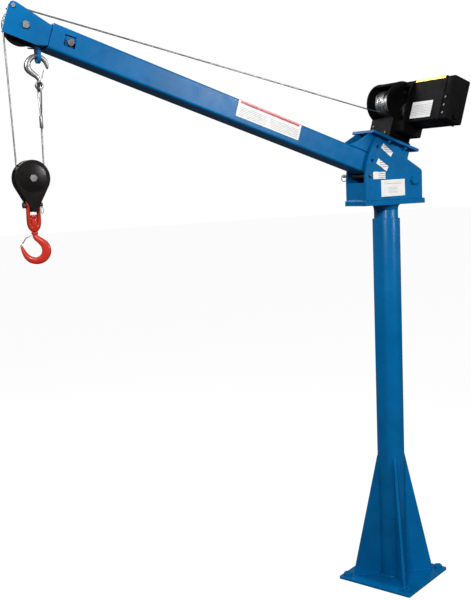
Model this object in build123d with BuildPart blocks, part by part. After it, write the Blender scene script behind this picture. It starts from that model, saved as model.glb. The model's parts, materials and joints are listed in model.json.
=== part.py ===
from build123d import *
from math import asin, cos, degrees, radians, sin, sqrt
import os

os.makedirs("parts", exist_ok=True)

# Pedestal crane with a telescoping boom and an electric winch.
# Origin: centre of the base plate's underside, on the mast axis. +Z up, boom towards -X.

INCH = 25.4

# base and mast
BASE_SIDE = 12 * INCH
BASE_THICK = 0.375 * INCH
BASE_TURN = 18.5
ANCHOR_SPACING = 10 * INCH
ANCHOR_HOLE_R = 8.75
PAD_HALF = 14
PAD_HIGH = 13
MAST_R = 2 * INCH
MAST_BORE_R = 1.75 * INCH
MAST_TOP = 1386
SEAT_TOP = 1140
GUSSET_THICK = 0.375 * INCH
GUSSET_TOP = 482
GUSSET_REACH = 155

# swivel head
RUN = 0.05
SPIGOT_R = MAST_BORE_R - RUN
YOKE_BOTTOM = 1437
YOKE_FLOOR = 0.75 * INCH
YOKE_PLATE = 0.375 * INCH
YOKE_HALF = 55
YOKE_FRONT_X = -142
YOKE_BACK_X = 132
PIVOT_X = 88.7
PIVOT_Z = 1522.8
PIVOT_R = 9.5
PIN_ARC = 210
PIN_R = 6.35
PIN_STEP = 15
PIN_TAIL_Y = 98
PIN_TAIL_R = 4

# boom, in its own s (towards the tip), y, n (up) directions
BOOM_ANGLE = 18.35
BOOM_AXIS_Z = 1552.2
TUBE = 3 * INCH
TUBE_WALL = 0.1875 * INCH
TAIL_S = -130
MOUTH_S = 1355
PIVOT_S = -93.5
INNER = 2.5 * INCH
EXTEND = 480
CLAMP_S = 1296
BRACKET_THICK = 0.25 * INCH
PLATE_LOW_S = -84
PLATE_HIGH_S = 145
PLATE_N = 105.5
PLATE_THICK = 0.375 * INCH
PLATE_HALF = 60

# winch
DRUM_S = 40
DRUM_N = 254
BARREL_R = 30
WOUND_R = 48.5
ROPE_R = 2.5
FRAME_R = 74

# tip and tackle
AXLE_S = 1434
KEEPER = (1481, 38)
SHEAVE_PITCH_R = 52.5
SHEAVE_RIM_R = 54.5
LUG_X = -1316
LUG_HOLE_Z = 1924
LUG_HOLE_R = 9.5
LUG_LOW_Z = 1903
BLOCK_X = -1361.2
BLOCK_Z = 1576
BLOCK_PITCH_R = 41
BLOCK_RIM_R = 44.5
HOOK_TURN = -32
CLEVIS_PIN_Z = 1499

UP = radians(BOOM_ANGLE)
TOE = Vector(-cos(UP), 0, sin(UP))
RISE = Vector(sin(UP), 0, cos(UP))


def at(s, n, y=0):
    """A point of the boom's own frame, in the part's frame."""
    return Vector(0, y, BOOM_AXIS_Z) + TOE * s + RISE * n


def side(y):
    """The boom's side view: x towards the tip, y up off the boom, extruded towards +Y."""
    return Plane(origin=(0, y, BOOM_AXIS_Z), x_dir=tuple(TOE), z_dir=(0, 1, 0))


def section(s):
    """Square across the boom at s, extruded towards the tip."""
    return Plane(origin=tuple(at(s, 0)), x_dir=(0, -1, 0), z_dir=tuple(TOE))


def deck(n):
    """Parallel to the boom's top at n, extruded up off the boom."""
    return Plane(origin=tuple(at(0, n)), x_dir=tuple(TOE), z_dir=tuple(RISE))


def upright(y):
    """The part's XZ plane seen from -Y, extruded towards -Y from y."""
    return Plane(origin=(0, y, 0), x_dir=(1, 0, 0), z_dir=(0, -1, 0))


def hook_plane(back):
    """The load hook's own plane, through the block's hang line."""
    turn = radians(HOOK_TURN)
    away = Vector(-sin(turn), cos(turn), 0)
    origin = Vector(BLOCK_X, 0, 0) + away * back
    return Plane(origin=tuple(origin), x_dir=(cos(turn), sin(turn), 0), z_dir=tuple(away * -1))


def save(piece, node):
    piece.part.label = node
    export_step(piece.part, f"parts/{node}.step")


AXLE = at(AXLE_S, 0)
DRUM = at(DRUM_S, DRUM_N)
PIN_DROP = degrees(asin((TUBE / 2 + PIN_R + 0.3) / PIN_ARC))


def pin_hole(step):
    """Centre of one index hole, counted up from the lowest."""
    turn = radians(BOOM_ANGLE - PIN_DROP + step * PIN_STEP)
    return (PIVOT_X - PIN_ARC * cos(turn), PIVOT_Z + PIN_ARC * sin(turn))


# ---------------------------------------------------------------- base and mast

def base_plate():
    with BuildPart() as plate:
        with BuildSketch(Plane.XY):
            Rectangle(BASE_SIDE, BASE_SIDE, rotation=BASE_TURN)
        extrude(amount=BASE_THICK)
        fillet(plate.edges().filter_by(Axis.Z), 6)
        with BuildSketch(Plane.XY.rotated((0, 0, BASE_TURN))):
            with GridLocations(ANCHOR_SPACING, ANCHOR_SPACING, 2, 2):
                Circle(ANCHOR_HOLE_R)
        extrude(amount=BASE_THICK, mode=Mode.SUBTRACT)
        chamfer(plate.faces().sort_by(Axis.Z)[-1].outer_wire().edges(), 0.8)
    save(plate, "base_plate")


def anchor_pads():
    with BuildPart() as pads:
        with BuildSketch(Plane.XY.offset(BASE_THICK).rotated((0, 0, BASE_TURN))):
            with GridLocations(ANCHOR_SPACING, ANCHOR_SPACING, 2, 2):
                RegularPolygon(PAD_HALF, 6, major_radius=False)
                Circle(ANCHOR_HOLE_R, mode=Mode.SUBTRACT)
        extrude(amount=PAD_HIGH)
    save(pads, "anchor_pads")


def mast_tube():
    with BuildPart() as mast:
        with BuildSketch(Plane.XY.offset(BASE_THICK)):
            Circle(MAST_R)
            Circle(MAST_BORE_R, mode=Mode.SUBTRACT)
        extrude(amount=MAST_TOP - BASE_THICK)
        chamfer(mast.faces().sort_by(Axis.Z)[-1].outer_wire().edges(), 1.5)
    save(mast, "mast_tube")


def base_gussets():
    with BuildPart() as gussets:
        for quarter in range(4):
            plane = Plane.XZ.rotated((0, 0, BASE_TURN + 45 + 90 * quarter)).offset(-GUSSET_THICK / 2)
            with BuildSketch(plane):
                with BuildLine():
                    Polyline(
                        (MAST_R + 0.4, BASE_THICK), (GUSSET_REACH, BASE_THICK), (GUSSET_REACH, BASE_THICK + 10),
                        (MAST_R + 2, GUSSET_TOP), (MAST_R + 0.4, GUSSET_TOP), close=True,
                    )
                make_face()
            extrude(amount=GUSSET_THICK)
    save(gussets, "base_gussets")


def mast_seat():
    with BuildPart() as seat:
        with BuildSketch(Plane.XY.offset(SEAT_TOP - 16)):
            Circle(MAST_BORE_R)
            Circle(26, mode=Mode.SUBTRACT)
        extrude(amount=12)
    save(seat, "mast_seat")


def thrust_washer():
    with BuildPart() as washer:
        with BuildSketch(Plane.XY.offset(SEAT_TOP - 4)):
            Circle(MAST_BORE_R - 0.3)
            Circle(30, mode=Mode.SUBTRACT)
        extrude(amount=4)
    save(washer, "thrust_washer")


# ---------------------------------------------------------------- swivel head

def swivel_spigot():
    with BuildPart() as spigot:
        with BuildSketch(Plane.XY.offset(SEAT_TOP + 0.3)):
            Circle(SPIGOT_R)
            Circle(SPIGOT_R - 8, mode=Mode.SUBTRACT)
        extrude(amount=YOKE_BOTTOM - SEAT_TOP - 0.3)
        chamfer(spigot.faces().sort_by(Axis.Z)[0].outer_wire().edges(), 2)
    save(spigot, "swivel_spigot")


def yoke_floor():
    with BuildPart() as floor:
        with BuildSketch(Plane.XY.offset(YOKE_BOTTOM)):
            with Locations(((YOKE_FRONT_X + YOKE_BACK_X) / 2 + 3, 0)):
                Rectangle(YOKE_BACK_X - YOKE_FRONT_X + 18, 2 * YOKE_HALF + 6)
        extrude(amount=YOKE_FLOOR)
        fillet(floor.edges().filter_by(Axis.Z), 4)
        chamfer(floor.edges().group_by(Axis.Z)[-1], 2)
    save(floor, "yoke_floor")


def yoke_plates():
    base = YOKE_BOTTOM + YOKE_FLOOR
    reach = PIN_ARC + 21
    turn = radians(43)
    arc_end = (PIVOT_X - reach * cos(turn), PIVOT_Z + reach * sin(turn))
    arc_mid = (PIVOT_X - reach * cos(turn / 2), PIVOT_Z + reach * sin(turn / 2))
    shoulder = (YOKE_BACK_X, PIVOT_Z + 37)
    front = PIVOT_X - reach
    with BuildPart() as plates:
        for back in (YOKE_PLATE - YOKE_HALF, YOKE_HALF):
            with BuildSketch(upright(back)):
                with BuildLine():
                    Line((front, base), (front, PIVOT_Z))
                    ThreePointArc((front, PIVOT_Z), arc_mid, arc_end)
                    Line(arc_end, shoulder)
                    Line(shoulder, (YOKE_BACK_X, base))
                    Line((YOKE_BACK_X, base), (front, base))
                make_face()
                with Locations((PIVOT_X, PIVOT_Z)):
                    Circle(PIVOT_R + 0.05, mode=Mode.SUBTRACT)
                with Locations(*[pin_hole(step) for step in range(3)]):
                    Circle(PIN_R + 0.08, mode=Mode.SUBTRACT)
            extrude(amount=YOKE_PLATE)
        shoulders = plates.edges().filter_by(Axis.Y).filter_by_position(Axis.Z, PIVOT_Z + 30, PIVOT_Z + 45)
        fillet(shoulders.filter_by_position(Axis.X, YOKE_BACK_X - 2, YOKE_BACK_X + 2), 16)
    save(plates, "yoke_plates")


def yoke_front_web():
    with BuildPart() as web:
        inner = YOKE_HALF - YOKE_PLATE
        with BuildSketch(Plane.XY.offset(YOKE_BOTTOM + YOKE_FLOOR)):
            with Locations((YOKE_FRONT_X + YOKE_PLATE / 2 + 1, 0)):
                Rectangle(YOKE_PLATE, 2 * inner)
        extrude(amount=64)
    save(web, "yoke_front_web")


def pivot_bolt():
    with BuildPart() as bolt:
        with BuildSketch(upright(YOKE_HALF + 14)):
            with Locations((PIVOT_X, PIVOT_Z)):
                Circle(PIVOT_R)
        extrude(amount=2 * YOKE_HALF + 14)
        for start, thick in ((-YOKE_HALF, 11), (YOKE_HALF + 12, 12)):
            with BuildSketch(upright(start)):
                with Locations((PIVOT_X, PIVOT_Z)):
                    RegularPolygon(14, 6, major_radius=False)
            extrude(amount=thick)
        chamfer(bolt.faces().sort_by(Axis.Y)[0].outer_wire().edges(), 1.2)
    save(bolt, "pivot_bolt")


def angle_pin():
    x, z = pin_hole(0)
    with BuildPart() as pin:
        with BuildSketch(upright(YOKE_HALF + 0.5)):
            with Locations((x, z)):
                Circle(PIN_R)
        extrude(amount=2 * YOKE_HALF + 8)
        chamfer(pin.faces().sort_by(Axis.Y)[0].edges(), 2)
        with BuildSketch(upright(YOKE_HALF + 9.5)):
            with Locations((x, z)):
                Circle(10)
        extrude(amount=9)
        with BuildSketch(upright(PIN_TAIL_Y)):
            with Locations((x, z)):
                Circle(PIN_TAIL_R)
        extrude(amount=PIN_TAIL_Y - YOKE_HALF - 9)
        chamfer(pin.faces().sort_by(Axis.Y)[-1].edges(), 1)
    save(pin, "angle_pin")


def angle_pin_ring():
    x, z = pin_hole(0)
    hub = (x, PIN_TAIL_Y - 6, z - 5.4)
    with BuildPart() as ring:
        with BuildSketch(Plane(origin=hub, x_dir=(1, 0, 0), z_dir=(0, 0, 1))):
            with Locations((12, 0)):
                Circle(1.4)
        revolve(axis=Axis(hub, (0, 1, 0)))
    save(ring, "angle_pin_ring")


# ---------------------------------------------------------------- boom

def boom_outer_tube():
    with BuildPart() as tube:
        with BuildSketch(section(TAIL_S)):
            RectangleRounded(TUBE, TUBE, 7)
            RectangleRounded(TUBE - 2 * TUBE_WALL, TUBE - 2 * TUBE_WALL, 3, mode=Mode.SUBTRACT)
        extrude(amount=MOUTH_S - TAIL_S)
        with BuildSketch(side(-TUBE)):
            with Locations((PIVOT_S, 0)):
                Circle(16)
        extrude(amount=2 * TUBE, mode=Mode.SUBTRACT)
        with BuildSketch(side(-TUBE)):
            with Locations((CLAMP_S, 3)):
                Rectangle(36, 34, rotation=-4)
        extrude(amount=TUBE / 2 + 10, mode=Mode.SUBTRACT)
        with BuildSketch(side(TUBE / 4)):
            with Locations((CLAMP_S, 0)):
                Circle(PIN_R)
        extrude(amount=TUBE / 2, mode=Mode.SUBTRACT)
    save(tube, "boom_outer_tube")


def clamp_bolt():
    with BuildPart() as bolt:
        with BuildSketch(side(-TUBE / 2 - 0.2)):
            with Locations((CLAMP_S, 0)):
                Circle(PIN_R)
        extrude(amount=TUBE + 12)
        with BuildSketch(side(-TUBE / 2 - 8)):
            with Locations((CLAMP_S, 0)):
                RegularPolygon(10, 6, major_radius=False)
        extrude(amount=8)
        with BuildSketch(side(TUBE / 2)):
            with Locations((CLAMP_S, 0)):
                RegularPolygon(10, 6, major_radius=False)
        extrude(amount=9)
    save(bolt, "clamp_bolt")


def pivot_sleeve():
    with BuildPart() as sleeve:
        with BuildSketch(side(-YOKE_HALF + YOKE_PLATE + 0.4)):
            with Locations((PIVOT_S, 0)):
                Circle(16)
                Circle(PIVOT_R + 0.06, mode=Mode.SUBTRACT)
        extrude(amount=2 * (YOKE_HALF - YOKE_PLATE - 0.4))
    save(sleeve, "pivot_sleeve")


def winch_brackets():
    with BuildPart() as brackets:
        for start in (-TUBE / 2, TUBE / 2 - BRACKET_THICK):
            with BuildSketch(side(start)):
                with BuildLine():
                    Polyline(
                        (-58, TUBE / 2), (218, TUBE / 2), (184, 62), (142, PLATE_N), (-58, PLATE_N), close=True,
                    )
                make_face()
            extrude(amount=BRACKET_THICK)
    save(brackets, "winch_brackets")


PLATE_BOLTS = [(-28, -46.5), (52, -46.5), (-28, 46.5), (52, 46.5)]


def winch_plate():
    middle = (PLATE_LOW_S + PLATE_HIGH_S) / 2
    with BuildPart() as plate:
        with BuildSketch(deck(PLATE_N)):
            with Locations((middle, 0)):
                RectangleRounded(PLATE_HIGH_S - PLATE_LOW_S, 2 * PLATE_HALF, 3)
            with Locations(*PLATE_BOLTS):
                Circle(4.1, mode=Mode.SUBTRACT)
        extrude(amount=PLATE_THICK)
        chamfer(plate.faces().sort_by(Axis(tuple(at(0, 0)), tuple(RISE)))[-1].outer_wire().edges(), 1)
    save(plate, "winch_plate")


def winch_bolts():
    with BuildPart() as bolts:
        with BuildSketch(deck(PLATE_N - 7)):
            with Locations(*PLATE_BOLTS):
                RegularPolygon(6.5, 6, major_radius=False)
        extrude(amount=7)
        with BuildSketch(deck(PLATE_N - 11)):
            with Locations(*PLATE_BOLTS):
                Circle(4)
        extrude(amount=11 + PLATE_THICK + 6)
    save(bolts, "winch_bolts")


# ---------------------------------------------------------------- winch

FOOT_N = PLATE_N + PLATE_THICK
BOX_LOW_S = -31
BOX_HIGH_S = 46
BOX_LOW_N = 169
BOX_HIGH_N = 325
BOX_NEAR = -300
GEAR_NEAR = -106
FRAME_HALF = 57
FRAME_WALL = 6
END_DEEP = 10
GEAR_FRONT = 60
GUARD_S = 68
GUARD_TOP = 188
FOOT_MID_S = 15
FOOT_LONG = 106
LEG_MID_S = 18
LEG_LONG = 100


def winch_foot():
    with BuildPart() as foot:
        with BuildSketch(deck(FOOT_N)):
            with Locations((FOOT_MID_S, 0)):
                Rectangle(FOOT_LONG, 2 * FRAME_HALF)
            with Locations(*PLATE_BOLTS):
                Circle(4.1, mode=Mode.SUBTRACT)
        extrude(amount=FRAME_WALL)
        with BuildSketch(side(-FRAME_HALF + FRAME_WALL)):
            with Locations((GUARD_S - FRAME_WALL / 2, (FOOT_N + GUARD_TOP) / 2)):
                Rectangle(FRAME_WALL, GUARD_TOP - FOOT_N)
        extrude(amount=2 * (FRAME_HALF - FRAME_WALL))
    save(foot, "winch_foot")


def side_profile():
    """One winch side seen square on: round about the drum, on a narrow leg."""
    with Locations((DRUM_S, DRUM_N)):
        Circle(FRAME_R)
    with Locations((LEG_MID_S, (FOOT_N + FRAME_WALL + DRUM_N) / 2)):
        Rectangle(LEG_LONG, DRUM_N - FOOT_N - FRAME_WALL)


def winch_sides():
    with BuildPart() as plates:
        with BuildSketch(side(-FRAME_HALF)):
            side_profile()
        extrude(amount=FRAME_WALL)
        with BuildSketch(side(FRAME_HALF - FRAME_WALL)):
            side_profile()
        extrude(amount=END_DEEP)
        chamfer(plates.faces().sort_by(Axis.Y)[-1].edges(), 3)
        with BuildSketch(side(-FRAME_HALF)):
            with Locations((DRUM_S, DRUM_N)):
                Circle(9.06)
        extrude(amount=2 * FRAME_HALF + END_DEEP, mode=Mode.SUBTRACT)
    save(plates, "winch_sides")


def winch_tie_bars():
    span = 2 * (FRAME_HALF - FRAME_WALL)
    with BuildPart() as bars:
        with BuildSketch(side(-FRAME_HALF + FRAME_WALL)):
            with Locations((DRUM_S, DRUM_N)):
                Circle(FRAME_R - 1)
                Circle(FRAME_R - 5, mode=Mode.SUBTRACT)
            with Locations((DRUM_S, DRUM_N + FRAME_R)):
                Rectangle(2 * FRAME_R, 60, mode=Mode.INTERSECT)
        extrude(amount=span)
        with BuildSketch(side(-FRAME_HALF + FRAME_WALL)):
            with Locations((DRUM_S - 66, DRUM_N - 18), (DRUM_S - 50, DRUM_N - 78)):
                Circle(5)
        extrude(amount=span)
    save(bars, "winch_tie_bars")


def gear_housing():
    with BuildPart() as housing:
        with BuildSketch(side(GEAR_NEAR)):
            with BuildLine():
                Line((-36, FOOT_N + 22), (50, FOOT_N + 22))
                Line((50, FOOT_N + 22), (GEAR_FRONT, 190))
                Line((GEAR_FRONT, 190), (GEAR_FRONT, 290))
                Line((GEAR_FRONT, 290), (44, 328))
                Line((44, 328), (-20, 328))
                Line((-20, 328), (-36, 312))
                Line((-36, 312), (-36, FOOT_N + 22))
            make_face()
        extrude(amount=-GEAR_NEAR - FRAME_HALF)
        fillet(housing.edges().filter_by(Axis.Y), 5)
        with BuildSketch(side(GEAR_NEAR + 7)):
            with Locations((DRUM_S - 12, 240)):
                RectangleRounded(86, 128, 8)
        extrude(amount=-GEAR_NEAR - FRAME_HALF - 7, mode=Mode.SUBTRACT)
    save(housing, "gear_housing")


def motor_cover():
    with BuildPart() as cover:
        middle = ((BOX_LOW_S + BOX_HIGH_S) / 2, (BOX_LOW_N + BOX_HIGH_N) / 2)
        with BuildSketch(side(BOX_NEAR + 34)):
            with Locations(middle):
                RectangleRounded(BOX_HIGH_S - BOX_LOW_S, BOX_HIGH_N - BOX_LOW_N, 5)
                RectangleRounded(BOX_HIGH_S - BOX_LOW_S - 5, BOX_HIGH_N - BOX_LOW_N - 5, 3, mode=Mode.SUBTRACT)
        extrude(amount=GEAR_NEAR - BOX_NEAR - 34 - 0.1)
    save(cover, "motor_cover")


def motor_end_cap():
    with BuildPart() as cap:
        middle = ((BOX_LOW_S + BOX_HIGH_S) / 2, (BOX_LOW_N + BOX_HIGH_N) / 2)
        with BuildSketch(side(BOX_NEAR)):
            with Locations(middle):
                RectangleRounded(BOX_HIGH_S - BOX_LOW_S, BOX_HIGH_N - BOX_LOW_N, 5)
        extrude(amount=33.8)
        chamfer(cap.faces().sort_by(Axis.Y)[0].edges(), 2)
        with BuildSketch(side(BOX_NEAR + 4)):
            with Locations(middle):
                RectangleRounded(BOX_HIGH_S - BOX_LOW_S - 8, BOX_HIGH_N - BOX_LOW_N - 8, 3)
        extrude(amount=33.8, mode=Mode.SUBTRACT)
        with BuildSketch(side(BOX_NEAR - 1)):
            with Locations((7, 190)):
                Circle(8.1)
        extrude(amount=8, mode=Mode.SUBTRACT)
    save(cap, "motor_end_cap")


def cable_gland():
    with BuildPart() as gland:
        with BuildSketch(side(BOX_NEAR - 1)):
            with Locations((7, 190)):
                Circle(8)
        extrude(amount=12)
        with BuildSketch(side(BOX_NEAR - 7)):
            with Locations((7, 190)):
                RegularPolygon(11, 6, major_radius=False)
        extrude(amount=6.8)
    save(gland, "cable_gland")


def motor_body():
    with BuildPart() as motor:
        with BuildSketch(side(BOX_NEAR + 40)):
            with Locations((8, 262)):
                Circle(32)
        extrude(amount=140)
        with BuildSketch(side(BOX_NEAR + 180)):
            with Locations((8, 262)):
                Circle(5)
        extrude(amount=13.5)
    save(motor, "motor")


def gear_train():
    with BuildPart() as gears:
        with BuildSketch(side(-84)):
            with Locations((8, 262)):
                Circle(9)
            with Locations((DRUM_S - 18, 222)):
                Circle(30)
        extrude(amount=14)
    save(gears, "reduction_gears")


def winch_screws():
    with BuildPart() as screws:
        front = BOX_HIGH_S
        spots = [(BOX_NEAR + 22, 248), (BOX_NEAR + 22, 220), (BOX_NEAR + 22, 192)]
        for y, n in spots:
            origin = at(front, n, y)
            with BuildSketch(Plane(origin=tuple(origin), x_dir=(0, -1, 0), z_dir=tuple(TOE))):
                Circle(4)
            extrude(amount=2.5)
        for y, n in [(-80, 280), (-80, 215)]:
            origin = at(GEAR_FRONT, n, y)
            with BuildSketch(Plane(origin=tuple(origin), x_dir=(0, -1, 0), z_dir=tuple(TOE))):
                Circle(4.5)
            extrude(amount=3)
        for y, n in [(40, 158), (16, 132), (-30, 132)]:
            origin = at(GUARD_S, n, y)
            with BuildSketch(Plane(origin=tuple(origin), x_dir=(0, -1, 0), z_dir=tuple(TOE))):
                Circle(4)
            extrude(amount=2.5)
    save(screws, "winch_screws")


def boom_labels():
    tube_face = Plane(origin=tuple(at(570, 10, -TUBE / 2)), x_dir=tuple(TOE), z_dir=(0, -1, 0))
    winch_face = Plane(origin=tuple(at(BOX_HIGH_S, 213, -169)), x_dir=(0, -1, 0), z_dir=tuple(TOE))
    with BuildPart() as stickers:
        for face, width, height in ((tube_face, 262, 56), (winch_face, 100, 60)):
            with BuildSketch(face):
                RectangleRounded(width, height, 1.5)
            extrude(amount=0.4)
    save(stickers, "boom_labels")


def yoke_labels():
    with BuildPart() as stickers:
        for x, z, width, height, turn in (
            (-12, 1498, 114, 60, 1), (-77, 1545, 58, 26, 0), (-61, 1582, 56, 20, -32), (-38, 1634, 56, 20, -36),
        ):
            with BuildSketch(upright(-YOKE_HALF)):
                with Locations((x, z)):
                    RectangleRounded(width, height, 1.5, rotation=turn)
            extrude(amount=0.4)
    save(stickers, "yoke_labels")


def winch_drum():
    half = FRAME_HALF - FRAME_WALL - 0.5
    with BuildPart() as drum:
        with BuildSketch(side(-half)):
            with Locations((DRUM_S, DRUM_N)):
                Circle(BARREL_R)
        extrude(amount=2 * half)
        for start in (-half, half - 4):
            with BuildSketch(side(start)):
                with Locations((DRUM_S, DRUM_N)):
                    Circle(60)
            extrude(amount=4)
        with BuildSketch(side(-half - 12)):
            with Locations((DRUM_S, DRUM_N)):
                Circle(9)
        extrude(amount=2 * half + 24)
        fillet(drum.edges().filter_by(GeomType.CIRCLE).filter_by(lambda edge: edge.radius > 55), 1.2)
    save(drum, "winch_drum")


def rope_on_drum():
    half = FRAME_HALF - FRAME_WALL - 5
    with BuildPart() as wound:
        with BuildSketch(side(-half)):
            with Locations((DRUM_S, DRUM_N)):
                Circle(WOUND_R - 5)
                Circle(BARREL_R + 0.1, mode=Mode.SUBTRACT)
        extrude(amount=2 * half)
    save(wound, "rope_on_drum")


# ---------------------------------------------------------------- telescoping tip

def boom_inner_tube():
    with BuildPart() as tube:
        with BuildSketch(section(MOUTH_S - EXTEND - 220)):
            RectangleRounded(INNER, INNER, 5)
            RectangleRounded(INNER - 9, INNER - 9, 2.5, mode=Mode.SUBTRACT)
        extrude(amount=EXTEND + 220 + 26)
        with BuildSketch(side(-INNER)):
            with Locations((CLAMP_S - EXTEND / 2 - 1, 0)):
                SlotOverall(EXTEND + 2 * PIN_R + 4, 2 * PIN_R + 0.6)
        extrude(amount=2 * INNER, mode=Mode.SUBTRACT)
    save(tube, "boom_inner_tube")


def tip_plates():
    near = [
        (1358, -INNER / 2), (1392, -42), (1493, -42), (1493, 38), (1490, 46), (1483, 51), (1472, 51), (1358, 27),
    ]
    far = [
        (1358, -INNER / 2), (1400, -38), (1448, -30), (1462, -14), (1462, 14), (1448, 28), (1358, 27),
    ]
    with BuildPart() as plates:
        for start, outline in ((-INNER / 2 - 6.4, near), (INNER / 2 + 0.05, far)):
            with BuildSketch(side(start)):
                with BuildLine():
                    Polyline(*outline, close=True)
                make_face()
                with Locations((AXLE_S, 0)):
                    Circle(6.4, mode=Mode.SUBTRACT)
                if outline is near:
                    with Locations(KEEPER):
                        Circle(4.05, mode=Mode.SUBTRACT)
            extrude(amount=6.35)
    save(plates, "tip_plates")


def tip_sheave():
    with BuildPart() as sheave:
        with BuildSketch(Plane(origin=tuple(AXLE), x_dir=(1, 0, 0), z_dir=(0, 0, 1))):
            with BuildLine():
                Polyline(
                    (6.42, -11), (15, -11), (15, -5), (40, -5), (43, -7.5), (SHEAVE_RIM_R, -7.5),
                    (SHEAVE_RIM_R, -5.5), (50.5, -2.6), (49.9, 0), (50.5, 2.6), (SHEAVE_RIM_R, 5.5),
                    (SHEAVE_RIM_R, 7.5), (43, 7.5), (40, 5), (15, 5), (15, 11), (6.42, 11), close=True,
                )
            make_face()
        revolve(axis=Axis(tuple(AXLE), (0, 1, 0)))
    save(sheave, "tip_sheave")


def tip_axle():
    with BuildPart() as bolt:
        with BuildSketch(side(-45)):
            with Locations((AXLE_S, 0)):
                Circle(6.35)
        extrude(amount=94)
        with BuildSketch(side(-45.5)):
            with Locations((AXLE_S, 0)):
                RegularPolygon(9.5, 6, major_radius=False)
        extrude(amount=7)
        with BuildSketch(side(38.6)):
            with Locations((AXLE_S, 0)):
                RegularPolygon(9.5, 6, major_radius=False)
        extrude(amount=8)
    save(bolt, "tip_axle")


def tip_spacers():
    with BuildPart() as spacers:
        for start in (-31.8, 11.3):
            with BuildSketch(side(start)):
                with Locations((AXLE_S, 0)):
                    Circle(11)
                    Circle(6.4, mode=Mode.SUBTRACT)
            extrude(amount=20.5)
    save(spacers, "tip_spacers")


def rope_keeper():
    with BuildPart() as keeper:
        with BuildSketch(side(-40)):
            with Locations(KEEPER):
                Circle(4)
        extrude(amount=52)
        for start in (-42.5, -31.6):
            with BuildSketch(side(start)):
                with Locations(KEEPER):
                    Circle(6)
            extrude(amount=4)
    save(keeper, "rope_keeper")


def hook_lug():
    top = at(1376, -INNER / 2 - 0.2)
    with BuildPart() as lug:
        with BuildSketch(Plane(origin=(LUG_X - 4.75, 0, 0), x_dir=(0, 1, 0), z_dir=(1, 0, 0))):
            with BuildLine():
                Line((-16, LUG_HOLE_Z), (-16, top.Z - 2))
                Line((-16, top.Z - 2), (16, top.Z - 2))
                Line((16, top.Z - 2), (16, LUG_HOLE_Z))
                ThreePointArc((16, LUG_HOLE_Z), (0, LUG_LOW_Z), (-16, LUG_HOLE_Z))
            make_face()
            with Locations((0, LUG_HOLE_Z)):
                Circle(LUG_HOLE_R, mode=Mode.SUBTRACT)
        extrude(amount=9.5)
        chamfer(lug.edges().filter_by(GeomType.CIRCLE).filter_by(lambda edge: edge.radius < 10), 1)
    save(lug, "hook_lug")


# ---------------------------------------------------------------- line hook and dead end

EYE_X = LUG_X - 1.5
EYE_Z = 1841
HOOK_BAR = 7
BOWL_R = 30
BOWL_X = LUG_X - 4
BOWL_Z = LUG_HOLE_Z - LUG_HOLE_R + HOOK_BAR + 1.9 - BOWL_R


def line_hook():
    with BuildPart() as hook:
        with BuildLine(upright(0)):
            FilletPolyline(
                (EYE_X, EYE_Z + 9), (EYE_X, EYE_Z + 22), (BOWL_X - BOWL_R, BOWL_Z - 10), (BOWL_X - BOWL_R, BOWL_Z),
                radius=9,
            )
            ThreePointArc((BOWL_X - BOWL_R, BOWL_Z), (BOWL_X, BOWL_Z + BOWL_R), (BOWL_X + BOWL_R, BOWL_Z))
        with BuildSketch(Plane(origin=(EYE_X, 0, EYE_Z + 9), z_dir=(0, 0, 1))):
            Circle(HOOK_BAR)
        sweep()
        with BuildSketch(upright(5)):
            with Locations((EYE_X, EYE_Z)):
                Circle(13)
        extrude(amount=10)
        with BuildSketch(upright(8)):
            with Locations((EYE_X, EYE_Z)):
                Circle(7)
        extrude(amount=16, mode=Mode.SUBTRACT)
    save(hook, "line_hook")


def line_hook_latch():
    with BuildPart() as latch:
        with BuildSketch(upright(1.2)):
            with BuildLine():
                Polyline(
                    (EYE_X + 8, EYE_Z + 21), (EYE_X + 11, EYE_Z + 20), (BOWL_X + BOWL_R - 9.5, BOWL_Z - 7),
                    (BOWL_X + BOWL_R - 12, BOWL_Z - 6), close=True,
                )
            make_face()
        extrude(amount=2.4)
    save(latch, "line_hook_latch")


FERRULE_TOP = 1754
FERRULE_LOW = 1720
FALL_LEAN = (BLOCK_X + BLOCK_PITCH_R - EYE_X) / (EYE_Z - BLOCK_Z)


def dead_x(z):
    """X of the dead fall at height z."""
    return EYE_X + FALL_LEAN * (EYE_Z - z)


def thimble():
    with BuildPart() as ring:
        with BuildSketch(Plane(origin=(EYE_X - 3.4, 0, EYE_Z - 10), x_dir=(0, 1, 0), z_dir=(1, 0, 0))):
            Circle(8.6)
            Circle(6.5, mode=Mode.SUBTRACT)
        extrude(amount=6.8)
    save(ring, "thimble")


def ferrule():
    with BuildPart() as sleeve:
        with BuildSketch(Plane.XY.offset(FERRULE_LOW)):
            with Locations((dead_x(FERRULE_TOP), 0)):
                RectangleRounded(9, 13, 4.4)
                Circle(ROPE_R + 0.9, mode=Mode.SUBTRACT)
        extrude(amount=FERRULE_TOP - FERRULE_LOW)
    save(sleeve, "ferrule")


# ---------------------------------------------------------------- snatch block and hook

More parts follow.
